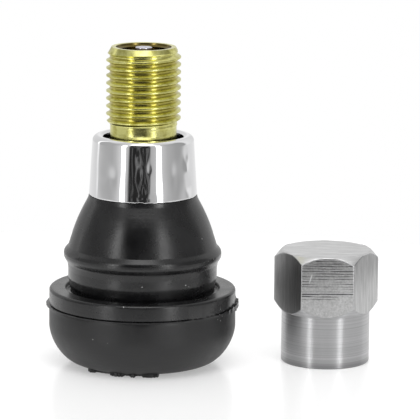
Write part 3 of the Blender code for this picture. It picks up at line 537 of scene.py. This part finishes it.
def makeScraps(sizes):
    # torn flash under the heel: one strip, pushed in where little of it is left
    base, reach = sizes["underside"], sizes["scrapReach"]
    turns, shares = zip(*sizes["scraps"])
    strip = drawOutline([(6.35 + reach, base + 0.25), (6.65 + reach, base - 0.12),
                         (6.9 + reach, base - 0.16), (7.0 + reach, base - 0.1),
                         (6.95 + reach, base + 0.3)], cyclic=True)
    bmesh.ops.rotate(strip, verts=strip.verts, cent=(0, 0, 0),
                     matrix=Matrix.Rotation(radians(turns[0] - 90), 3, "Z"))
    bmesh.ops.spin(strip, geom=strip.verts[:] + strip.edges[:], axis=(0, 0, 1), cent=(0, 0, 0),
                   angle=radians(turns[-1] - turns[0]), steps=sizes["scrapSteps"], use_merge=False)
    bmesh.ops.holes_fill(strip, edges=[e for e in strip.edges if e.is_boundary], sides=0)
    tidyShape(strip)
    for point in strip.verts:
        angle = frontAngle(point.co)
        left = float(np.interp(angle, turns, shares)) * (1 + 0.3 * uneven(angle / 1.2, 5.0, 9.0))
        left = min(1.0, left)
        point.co.xy *= 1 - (1 - left) * reach / point.co.xy.length
        if point.co.z < base:
            depth = 1.0 if point.co.z < base - 0.11 else 0.6
            point.co.z = base - sizes["scrapDepth"] * left * depth
    return strip


def makeRubberBody(sizes):
    flange, flashZ = sizes["flange"], sizes["flashHeight"]
    body = turnOutline(drawRubberOutline(sizes), sizes["sides"], cyclic=True)
    turns, reaches = zip(*sizes["flash"])
    tornStart, tornEnd = sizes["tornChunk"]
    brokenStart, brokenEnd = sizes["brokenLine"]
    for point in body.verts:
        radius = point.co.xy.length
        angle = frontAngle(point.co)
        if radius > flange + 0.04:
            reach = float(np.interp(angle, turns, reaches))
            ragged = 0.35 * uneven(angle / 3, 0.0, 4.0) + 0.25 * uneven(angle, 1.0, 4.0)
            if tornStart < angle < tornEnd:        # a torn chunk: thick, with a broken edge
                ragged += 0.7 * uneven(angle / 1.7, 6.0, 4.0)
                thick = sizes["tornThickness"] * min(1.0, (angle - tornStart) / 12, (tornEnd - angle) / 12)
                thick *= 0.75 + uneven(angle / 1.4, 2.0, 4.0)
                point.co.z += thick * (point.co.z - flashZ) / 0.05
            point.co.xy *= (flange + reach * (1 + ragged)) / radius
            point.co.z += 0.04 * uneven(angle / 6, 3.0, 4.0)
        elif abs(point.co.z - flashZ) < 0.16 and brokenStart < angle < brokenEnd:
            if uneven(angle / 1.6, 7.0, 4.0) > -0.05:        # the line breaks up before the torn chunk
                point.co.xy *= flange / radius
    return joinShapes([body, makeScraps(sizes)])


finishPiece(makeRubberBody(rubberSizes), "rubber_moulding", "valve", [rubber],
            ["rubber_body"], 40)


# Chromed sleeve

sleeveSizes = {
    "sides": 240, "foot": 5.62, "footHeight": 9.88, "top": 5.23, "topHeight": 16.12, "mouth": 4.17,
    "wall": 0.4, "lipTop": 4.52, "lipRound": 0.62, "lipInside": 0.17, "rows": 40, "wobble": 0.03,
    # dents: degrees from the front, height, half-width in degrees, half-height, depth
    "dents": ((2, 10.3, 5, 0.35, 0.016), (10, 10.25, 4, 0.3, 0.016), (37, 12.3, 3.2, 1.1, 0.035),
              (31, 12.0, 3, 1.3, -0.01), (-34, 12.1, 5, 0.9, 0.04), (-28, 11.9, 3, 0.7, -0.01),
              (57, 14.4, 5, 0.8, 0.04), (57, 12.8, 4, 0.6, -0.04), (60, 11.1, 5, 0.7, 0.04),
              (-5, 14.4, 3, 0.8, 0.02), (4, 13.8, 3, 0.9, -0.02), (-2, 12.4, 3, 1.1, 0.025),
              (8, 13.3, 2, 0.5, 0.02), (9, 11.8, 2.5, 1.2, -0.01), (-9, 12.0, 2, 1.2, -0.01),
              (3, 11.2, 2, 0.7, 0.02)),
    # the uneven cut of its foot: degrees from the front, half-width in degrees, height
    "cut": (6, 16, 0.11),
}


def makeSleeve(sizes):
    foot, top, wall, rows = sizes["foot"], sizes["top"], sizes["wall"], sizes["rows"]
    footHeight, topHeight = sizes["footHeight"], sizes["topHeight"]
    ceiling = topHeight - wall
    wallLine = [(foot + (top - foot) * i / rows, footHeight + (topHeight - footHeight) * i / rows)
                for i in range(rows - 4, 0, -1)]
    inside = [(foot - wall, footHeight, 0.05, 3), (top - wall + 0.03, ceiling, 0.3, 5)]
    lip = [(sizes["mouth"], ceiling, 0.05, 2), (sizes["mouth"], topHeight - sizes["lipInside"], 0.06, 4),
           (sizes["lipTop"], topHeight, 0.3, 4)]
    sleeve = turnOutline([(top, topHeight, sizes["lipRound"], 14), *wallLine, (foot, footHeight, 0.05, 3),
                          *inside, *lip], sizes["sides"], cyclic=True)
    cutTurn, cutWide, cutTall = sizes["cut"]
    for point in sleeve.verts:
        angle = frontAngle(point.co)
        height = point.co.z
        radius = point.co.xy.length
        low = max(0.0, 1 - (height - footHeight) / 5.0)
        push = uneven(cos(radians(angle)) * 3, sin(radians(angle)) * 3, height / 3) * sizes["wobble"] * low
        for turn, level, wide, tall, depth in sizes["dents"]:
            push -= depth * exp(-((angle - turn) / wide) ** 2 - ((height - level) / tall) ** 2)
        point.co.xy *= (radius + push) / radius
        if height < footHeight + 0.12:
            near = exp(-((angle - cutTurn) / cutWide) ** 2)
            point.co.z += cutTall * near * uneven(angle / 4, 1.5, 2.0)
    return sleeve


finishPiece(makeSleeve(sleeveSizes), "chromed_sleeve", "valve", [chrome], ["sleeve"], 40)


# Brass stem

stemSizes = {
    "mouth": 25.3, "threadFoot": 17.0, "crest": 3.87, "root": 3.5, "pitch": 0.794, "crestOnRight": 23.48,
    "rim": 3.33, "leadSlope": 0.55, "fade": 0.8, "neck": 3.45, "bore": 2.6, "boreRoot": 2.83,
    "borePitch": 0.705, "boreThreadFoot": 19.0, "boreThreadTop": 24.94, "boreCrestHeight": 22.0,
    # nicks: degrees from the front, height, size
    "nicks": ((54, 24.75, 0.11), (49, 24.7, 0.08), (59, 24.6, 0.08), (47, 21.3, 0.09)),
    "nickReach": 3.62, "nickDepth": 0.03,
}


def makeStem(sizes):
    mouth, foot, pitch, neck = sizes["mouth"], sizes["threadFoot"], sizes["pitch"], sizes["neck"]
    crest, root, rim = sizes["crest"], sizes["root"], sizes["rim"]
    flank = (crest - root) * tan(radians(30))       # a 60 degree thread
    flat = pitch * 0.18
    low = pitch / 2 - flat / 2 - flank
    capThread = [(root, 0.0), (root, low, 0.06, 3), (crest, low + flank, 0.035, 3),
                 (crest, low + flank + flat, 0.035, 3), (root, pitch - low, 0.06, 3), (root, pitch)]

    def trimOuter(radius, height):
        if height == foot:
            return neck
        lead = rim + (mouth - height) * sizes["leadSlope"]
        share = min(1.0, (height - foot) / sizes["fade"])
        share = share * share * (3 - 2 * share)        # the thread runs out softly into the neck
        return min(neck + (radius - neck) * share, lead)

    outer = turnThread(capThread, pitch, sizes["crestOnRight"], foot, mouth, roundSides, trimOuter)
    reach = sizes["nickReach"]
    for point in outer.verts:
        for turn, level, size in sizes["nicks"]:
            spot = Vector((reach * sin(radians(turn)), -reach * cos(radians(turn)), level))
            away = (point.co - spot).length
            if away < 3 * size and point.co.z < mouth - 0.05:
                point.co.xy *= 1 - sizes["nickDepth"] * exp(-(away / size) ** 2)

    bore, boreRoot, borePitch = sizes["bore"], sizes["boreRoot"], sizes["borePitch"]
    boreFoot, boreTop = sizes["boreThreadFoot"], sizes["boreThreadTop"]
    boreThread = [(bore, 0.0), (bore, 0.16), (boreRoot, 0.30, 0.02, 2), (boreRoot, 0.40, 0.02, 2),
                  (bore, 0.54), (bore, borePitch)]

    def trimBore(radius, height):
        return bore if height in (boreFoot, boreTop) else radius

    inner = turnThread(boreThread, borePitch, sizes["boreCrestHeight"], boreFoot, boreTop, roundSides,
                       trimBore)
    mouthRing = turnOutline([(bore, boreTop), (2.84, mouth - 0.22, 0.03, 2), (2.87, mouth, 0.04, 3),
                             (rim - 0.04, mouth), (rim, mouth)], roundSides)
    # the core's seat, the air passage, the foot and the ribs
    ribRoot = ribSizes["root"]
    lower = turnOutline([(bore, boreFoot), (bore, 17.0), (1.95, 16.0), (1.95, 5.0), (1.25, 4.3),
                         (1.25, -5.95), (1.65, -6.35), (3.9, -6.35), (3.9, -5.45), (ribRoot, -5.45),
                         *ribCorners(0.0), (ribRoot, 8.5), (neck, 8.5), (neck, 14.0), (neck, foot)],
                        roundSides)
    return joinShapes([outer, inner, mouthRing, lower])


brass = makeBrass(brassFinish, stemSizes)
finishPiece(makeStem(stemSizes), "threaded_stem", "valve", [brass], ["stem"], 35)


# Core: head, pin and spring

coreSizes = {"top": 24.5, "foot": 20.4, "outer": 2.55, "guide": 0.95, "passage": 1.55, "bridgeFoot": 22.8,
             "bridgeHalf": 1.15, "threadRoot": 2.35, "pitch": 0.705, "crestHeight": 22.0, "edgeBreak": 0.05,
             "pinHead": 0.87, "pinTop": 25.25, "pinHeadTall": 2.8, "pinShaft": 0.45, "collar": 1.05,
             "collarHeights": (15.3, 14.8), "pinFoot": 7.6}


def makeCoreHead(sizes):
    top, waist, outer = sizes["top"], sizes["bridgeFoot"], sizes["outer"]
    guide, passage, half = sizes["guide"], sizes["passage"], sizes["bridgeHalf"]
    bridge = turnOutline([(guide, top, 0.06, 3), (outer, top, 0.3, 6), (outer, waist), (passage, waist),
                          (passage, top - 0.8, 0.3, 5), (guide, top - 0.8)], coreSides, cyclic=True)
    for side in (-1, 1):
        cutAway(bridge, (0, side * half, 0), (0, side, 0))
    rims = [e for e in bridge.edges if len(e.link_faces) == 2 and e.calc_face_angle() > radians(40)
            and all(abs(abs(v.co.y) - half) < 0.001 for v in e.verts)]
    bmesh.ops.bevel(bridge, geom=rims, offset=sizes["edgeBreak"], segments=2, profile=0.5, affect="EDGES",
                    material=-1)

    low, pitch, root = sizes["foot"], sizes["pitch"], sizes["threadRoot"]
    end = outer - 0.12
    thread = [(outer, 0.0), (outer, 0.22), (root, 0.34, 0.02, 2), (root, 0.40, 0.02, 2), (outer, 0.52),
              (outer, pitch)]

    def trim(radius, height):
        return end if height in (low, waist) else radius

    threaded = turnThread(thread, pitch, sizes["crestHeight"], low, waist, coreSides, trim)
    ring = turnOutline([(end, low), (1.75, low), (1.75, low + 0.4), (2.1, low + 0.4), (2.1, low + 1.2),
                        (passage, low + 1.2), (passage, waist), (end, waist)], coreSides)
    collar = joinShapes([threaded, ring])
    tidyShape(collar)
    return joinShapes([bridge, collar])


def makeCorePin(sizes):
    head, top, shaft, foot = sizes["pinHead"], sizes["pinTop"], sizes["pinShaft"], sizes["pinFoot"]
    headFoot = top - sizes["pinHeadTall"]
    collar = sizes["collar"]
    collarTop, collarFoot = sizes["collarHeights"]
    return turnOutline([(0.0, top - 0.02), (0.12, top - 0.02, 0.05, 3), (0.3, top), (head, top, 0.07, 5),
                        (head, headFoot, 0.05, 2), (shaft, headFoot - 0.42, 0.05, 2), (shaft, collarTop),
                        (collar, collarTop, 0.04, 2), (collar, collarFoot, 0.04, 2), (shaft, collarFoot),
                        (shaft, foot, 0.06, 2), (0.0, foot)], 64)


springSizes = {"wire": 0.14, "closedRise": 0.33, "openTurns": 4, "travel": 1.6, "stepsPerTurn": 24}


def makeCoreSpring(sizes, low, high, outer):
    # a coil of round wire, with a closed turn at each end
    wire, closed, steps = sizes["wire"], sizes["closedRise"], sizes["stepsPerTurn"]
    openRise = (high - low - 2 * wire - 2 * closed) / sizes["openTurns"]
    spring = bmesh.new()
    upright = Matrix.Translation((outer - wire, 0.0, low + wire)) @ Matrix.Rotation(radians(90), 4, "X")
    bmesh.ops.create_circle(spring, segments=10, radius=wire, matrix=upright)
    last = spring.verts[:] + spring.edges[:]
    for turns, rise in ((1, closed), (sizes["openTurns"], openRise), (1, closed)):
        turned = bmesh.ops.spin(spring, geom=last, axis=(0, 0, 1), cent=(0, 0, 0), dvec=(0, 0, rise / steps),
                                angle=2 * pi * turns, steps=turns * steps, use_merge=False)
        last = turned["geom_last"]
    bmesh.ops.holes_fill(spring, edges=[e for e in spring.edges if e.is_boundary], sides=0)
    return spring


headBrass = makeTurnedMetal("turned_core_brass", "#a88f3c", "#d8c468", 0.28, 0.25, 0.01)
pinSteel = makeTurnedMetal("plated_pin_steel", "#b4b2c0", "#dcdae6", 0.2, 0.2, 0.006)
springWire = makeTurnedMetal("drawn_spring_wire", "#8c8c90", "#b4b4b8", 0.25, 0.1, 0.004)
finishPiece(makeCoreHead(coreSizes), "bridged_core_head", "swivel_head", [headBrass],
            ["core_head"])
finishPiece(makeCorePin(coreSizes), "stepped_pin", "plunger", [pinSteel], ["core_pin"])
springFoot, springTop = (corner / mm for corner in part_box("core_spring"))
coil = finishPiece(makeCoreSpring(springSizes, springFoot.z, springTop.z, springTop.x), "coil_spring",
                   "core", [springWire], ["core_spring"], 60)
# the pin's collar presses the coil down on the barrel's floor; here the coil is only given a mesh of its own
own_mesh(coil)


# Cap

capSizes = {"place": (19.26, 1.6, -8.05), "height": 11.9, "headFoot": 5.45, "flats": 4.75, "skirt": 4.64,
            "topEdge": 4.5, "cornerDrop": 0.94, "cornerRise": 1.03, "bore": 3.92, "boreCrest": 3.5,
            "pitch": 0.794, "crestHeight": 4.0, "threadEnds": (0.5, 8.6), "boreEnd": 9.1, "edgeRound": 0.08}


def makeCap(sizes):
    height, foot, flats, skirt = sizes["height"], sizes["headFoot"], sizes["flats"], sizes["skirt"]
    low, high = sizes["threadEnds"]
    bore, crest, pitch, boreEnd = sizes["bore"], sizes["boreCrest"], sizes["pitch"], sizes["boreEnd"]
    blank = flats / cos(radians(30)) + 0.05        # the round bar, a little wider than the hexagon's corners
    cap = turnOutline([(0.0, height), (sizes["topEdge"], height, 0.3, 3),
                       (flats - 0.01, height - 0.07, 0.1, 3), (blank, height - sizes["cornerDrop"]),
                       (blank, foot + sizes["cornerRise"]), (flats - 0.01, foot + 0.03),
                       (skirt, foot, 0.06, 2), (skirt, 0.1, 0.05, 2), (skirt - 0.1, 0.0, 0.05, 2),
                       (bore + 0.3, 0.0, 0.05, 2), (bore, 0.3), (bore, low)], roundSides)
    for i in range(6):
        turn = radians(60 * i + 30)
        outward = Vector((cos(turn), sin(turn), 0.0))
        cutAway(cap, outward * flats, outward)
    bmesh.ops.recalc_face_normals(cap, faces=cap.faces)
    # materials: 0 skirt, 1 top, 2 front flat, 3 other flats, 4 chamfers round the top
    flatFaces = [f for f in cap.faces if abs(f.normal.z) < 0.01 and f.calc_area() > 8]
    for face in flatFaces:
        face.material_index = 2 if face.normal.y < -0.9 else 3
    for face in cap.faces:
        if face not in flatFaces and face.calc_center_median().z > height - 0.9:
            face.material_index = 1 if face.normal.z > 0.95 else 4
    edges = {e for f in flatFaces for e in f.edges}
    bmesh.ops.bevel(cap, geom=list(edges), offset=sizes["edgeRound"], segments=2, profile=0.5,
                    affect="EDGES", material=0)

    thread = [(bore, 0.0), (bore, 0.1), (crest, 0.34, 0.04, 2), (crest, 0.46, 0.04, 2), (bore, 0.7),
              (bore, pitch)]

    def trim(radius, height):
        return bore if height in (low, high) else radius

    inner = turnThread(thread, pitch, sizes["crestHeight"], low, high, roundSides, trim)
    end = turnOutline([(bore, high), (bore, boreEnd), (1.5, boreEnd), (1.5, boreEnd + 0.5),
                       (0.0, boreEnd + 1.4)], roundSides)
    whole = joinShapes([cap, inner, end])
    bmesh.ops.translate(whole, vec=sizes["place"], verts=whole.verts)
    return whole


millingSizes = {
    "lineStep": 0.27, "lineDepth": 0.012, "biteSize": 0.25, "grainSize": 0.22, "grainDepth": 0.01,
    "line": "#303030", "dark": "#a4a4a4", "bright": "#cacaca", "roughness": 0.4,
    # how dark the lines are, by the share of the way up between these heights
    "lineHeights": (-2.6, 3.9),
    "lineShare": ((0.0, 0.05), (0.28, 0.06), (0.33, 1.0), (0.41, 1.0), (0.45, 0.2), (0.52, 0.7), (0.9, 1.0)),
    "scratch": "#ececec", "scratchPlace": (17.5, -3.15, 1.65), "scratchTurn": 17,
    "scratchHalf": (0.04, 0.09),
}
capAxis, capFoot = capSizes["place"][:2], capSizes["place"][2]
capSkirt = makeTurnedMetal("turned_nickel_plate", "#a4a4a5", "#bebebf", 0.36, 0.09, 0.0001, capAxis, 0.97,
                           capFoot)
# the chamfers' nickel is lighter than the skirt's: a painted highlight for the light they catch from above
capChamferLit = makeTurnedMetal("chamfered_nickel_plate_lit", "#d4d4d4", "#ececec", 0.36, 0.09, 0.0005, capAxis)
# the top's nickel is lighter than that of the flats: painted light from above
capTopLit = makeCutMetal("faced_nickel_plate", "#c4c4c4", "#e4e4e4", 0.4, 0.35, 0.006, (0.12, 1.0, 1.0))
capFront = makeMilledMetal(millingSizes)
capSide = makeCutMetal("drawn_nickel_plate", "#a2a2a2", "#c2c2c2", 0.35, 0.18, 0.006, (1.0, 1.0, 0.06))
finishPiece(makeCap(capSizes), "hexagonal_cap", "valve",
            [capSkirt, capTopLit, capFront, capSide, capChamferLit], ["cap"])


# The pieces that stay as the CAD made them get finishes of their own

plainFinishes = {
    "core_barrel": makeTurnedMetal("turned_barrel_nickel", "#a8a498", "#d4d0c4", 0.28, 0.3, 0.01),
    "plunger_cup": makeTurnedMetal("pressed_cup_brass", "#a88f3c", "#d8c468", 0.3, 0.3, 0.01),
    "barrel_gasket": rubber, "plunger_gasket": rubber, "cap_gasket": rubber,
}
for node, finish in plainFinishes.items():
    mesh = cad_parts[node].data
    mesh.materials.clear()
    mesh.materials.append(finish)
print("finishes set on:", ", ".join(plainFinishes))


# Floor, light and camera

stageSizes = {"floorHeight": -8.05, "floorReach": 70.0, "floor": "#f0f0f0", "floorRoughness": 0.2,
              "floorGlow": 0.35}

floorShape = turnOutline([(0.0, stageSizes["floorHeight"]),
                          (stageSizes["floorReach"], stageSizes["floorHeight"])], 96)
bmesh.ops.scale(floorShape, vec=(mm, mm, mm), verts=floorShape.verts)
floorMesh = bpy.data.meshes.new("floor")
floorShape.to_mesh(floorMesh)
floorShape.free()
floor = bpy.data.objects.new("floor", floorMesh)
scene.collection.objects.link(floor)
paper = bpy.data.materials.new("white_paper")
paper.use_nodes = True
tree = paper.node_tree
shader = tree.nodes["Principled BSDF"]
shader.inputs["Base Color"].default_value = linear(stageSizes["floor"])
shader.inputs["Roughness"].default_value = stageSizes["floorRoughness"]
# the paper is whitened where it is looked at or mirrored, and throws no more light on the object
ray = addNode(tree, "LightPath")
seen = addNode(tree, "Math", {0: ray.outputs["Is Camera Ray"], 1: ray.outputs["Is Glossy Ray"]},
               operation="MAXIMUM")
glow = addNode(tree, "Math", {0: seen.outputs["Value"], 1: stageSizes["floorGlow"]}, operation="MULTIPLY")
shader.inputs["Emission Color"].default_value = grey(1.0)
tree.links.new(glow.outputs["Value"], shader.inputs["Emission Strength"])
floorMesh.materials.append(paper)

# The room round the object: level of grey by degrees round from the front, positive towards the cap.
# "ring" is level with the object, "low" below it, where the pale table shows, and "high" above it, with a
# soft lamp over the front; the strips are two softboxes.
room = {
    "ring": ((-180, .9), (-168, .72), (-124, .66), (-122, 1.3), (-117, 1.3), (-114, .42), (-72, .42),
             (-62, .5), (-52, .66), (-38, .6), (-32.5, .52), (-28.5, .02), (15.5, .02), (19, .45), (30, .55),
             (45, .6), (56, .46), (80, .37), (110, .34), (117, .85), (135, .8), (168, .72), (180, .9)),
    "low": ((-180, .9), (-120, .7), (-60, .62), (-38, .5), (-26, .04), (8, .03), (18, .45), (60, .6),
            (120, .7), (180, .9)),
    "high": ((-180, .95), (-120, .8), (-70, .55), (-42, .8), (-28, 3.0), (28, 3.0), (42, .8), (70, .6),
             (120, .8), (180, .95)),
    "strips": ((-180, 0.0), (-48.6, 0.0), (-47.2, 1.0), (-38.8, 1.0), (-37.4, 0.0), (30.5, 0.0), (32, 1.0),
               (42, 1.0), (43.5, 0.0), (180, 0.0)),
    # how bright the strips are, by the sine of the height above the horizon
    "stripLevels": ((-.21, 0.0), (-.17, 5.0), (-.12, 5.0), (-.07, 2.0), (.13, 2.2), (.18, 7.0), (.28, 7.0),
                    (.34, 3.6), (.48, 5.0), (.62, 0.0)),
    # where "low" and "high" take over from "ring", by the same sine
    "lowEdge": (-0.075, -0.14), "highEdge": (0.64, 0.8),
    # soft clutter, so that the dark side of the room isn't one even black
    "clutterSize": 9.0, "clutterRange": (0.5, 0.76), "clutterLevels": (0.008, 0.3),
}
world = bpy.data.worlds.new("studio")
scene.world = world
world.use_nodes = True
tree = world.node_tree
direction = addNode(tree, "TexCoord").outputs["Generated"]
split = addNode(tree, "SeparateXYZ", {"Vector": direction})
back = addNode(tree, "Math", {0: split.outputs["Y"], 1: -1.0}, operation="MULTIPLY")
turn = addNode(tree, "Math", {0: split.outputs["X"], 1: back.outputs["Value"]}, operation="ARCTAN2")
share = addNode(tree, "MapRange", {"Value": turn.outputs["Value"], "From Min": -pi, "From Max": pi})
levels = {}
for name in ("ring", "low", "high", "strips"):
    stops = [((angle + 180) / 360, grey(level)) for angle, level in room[name]]
    levels[name] = addNode(tree, "ValToRGB", {"Fac": share.outputs["Result"]}, stops=stops).outputs["Color"]
edges = {}
for name in ("lowEdge", "highEdge"):
    start, end = room[name]
    taken = addNode(tree, "MapRange", {"Value": split.outputs["Z"], "From Min": start, "From Max": end},
                    interpolation_type="SMOOTHSTEP")
    edges[name] = taken.outputs["Result"]
upward = addNode(tree, "MapRange", {"Value": split.outputs["Z"], "From Min": -1.0, "From Max": 1.0})
stripLevel = addNode(tree, "ValToRGB", {"Fac": upward.outputs["Result"]},
                     stops=[((rise + 1) / 2, grey(level)) for rise, level in room["stripLevels"]])
ringMix = addNode(tree, "Mix", {"Factor": edges["lowEdge"], "A": levels["ring"], "B": levels["low"]},
                  data_type="RGBA")
clutter = addNode(tree, "TexNoise", {"Vector": direction, "Scale": room["clutterSize"], "Detail": 3.0,
                                     "Roughness": 0.6})
start, end = room["clutterRange"]
dim, pale = room["clutterLevels"]
mottle = addNode(tree, "MapRange", {"Value": clutter.outputs["Fac"], "From Min": start, "From Max": end,
                                    "To Min": dim, "To Max": pale})
filled = addNode(tree, "VectorMath", {0: ringMix.outputs["Result"], 1: mottle.outputs["Result"]},
                 operation="MAXIMUM")
roomMix = addNode(tree, "Mix", {"Factor": edges["highEdge"], "A": filled.outputs["Vector"],
                                "B": levels["high"]}, data_type="RGBA")
strip = addNode(tree, "VectorMath", {0: levels["strips"], 1: stripLevel.outputs["Color"]},
                operation="MULTIPLY")
lit = addNode(tree, "VectorMath", {0: roomMix.outputs["Result"], 1: strip.outputs["Vector"]},
              operation="ADD")
# behind the object the camera sees plain white, and the metal mirrors the room
ray = addNode(tree, "LightPath")
view = addNode(tree, "Mix", {"Factor": ray.outputs["Is Camera Ray"], "A": lit.outputs["Vector"],
                             "B": grey(1.0)}, data_type="RGBA")
tree.links.new(view.outputs["Result"], tree.nodes["Background"].inputs["Color"])

cameraSizes = {"lens": 261.4, "sensor": 36.0, "place": (6.99, -311.96, 68.32), "pitch": 10.91, "roll": 0.55}
cameraData = bpy.data.cameras.new("camera")
cameraData.lens = cameraSizes["lens"]
cameraData.sensor_width = cameraSizes["sensor"]
camera = bpy.data.objects.new("camera", cameraData)
scene.collection.objects.link(camera)
camera.matrix_world = (Matrix.Translation(Vector(cameraSizes["place"]) * mm)
                       @ Matrix.Rotation(radians(90 - cameraSizes["pitch"]), 4, "X")
                       @ Matrix.Rotation(radians(cameraSizes["roll"]), 4, "Z"))
scene.camera = camera
scene.view_settings.view_transform = "Standard"
print("floor, light and camera set")
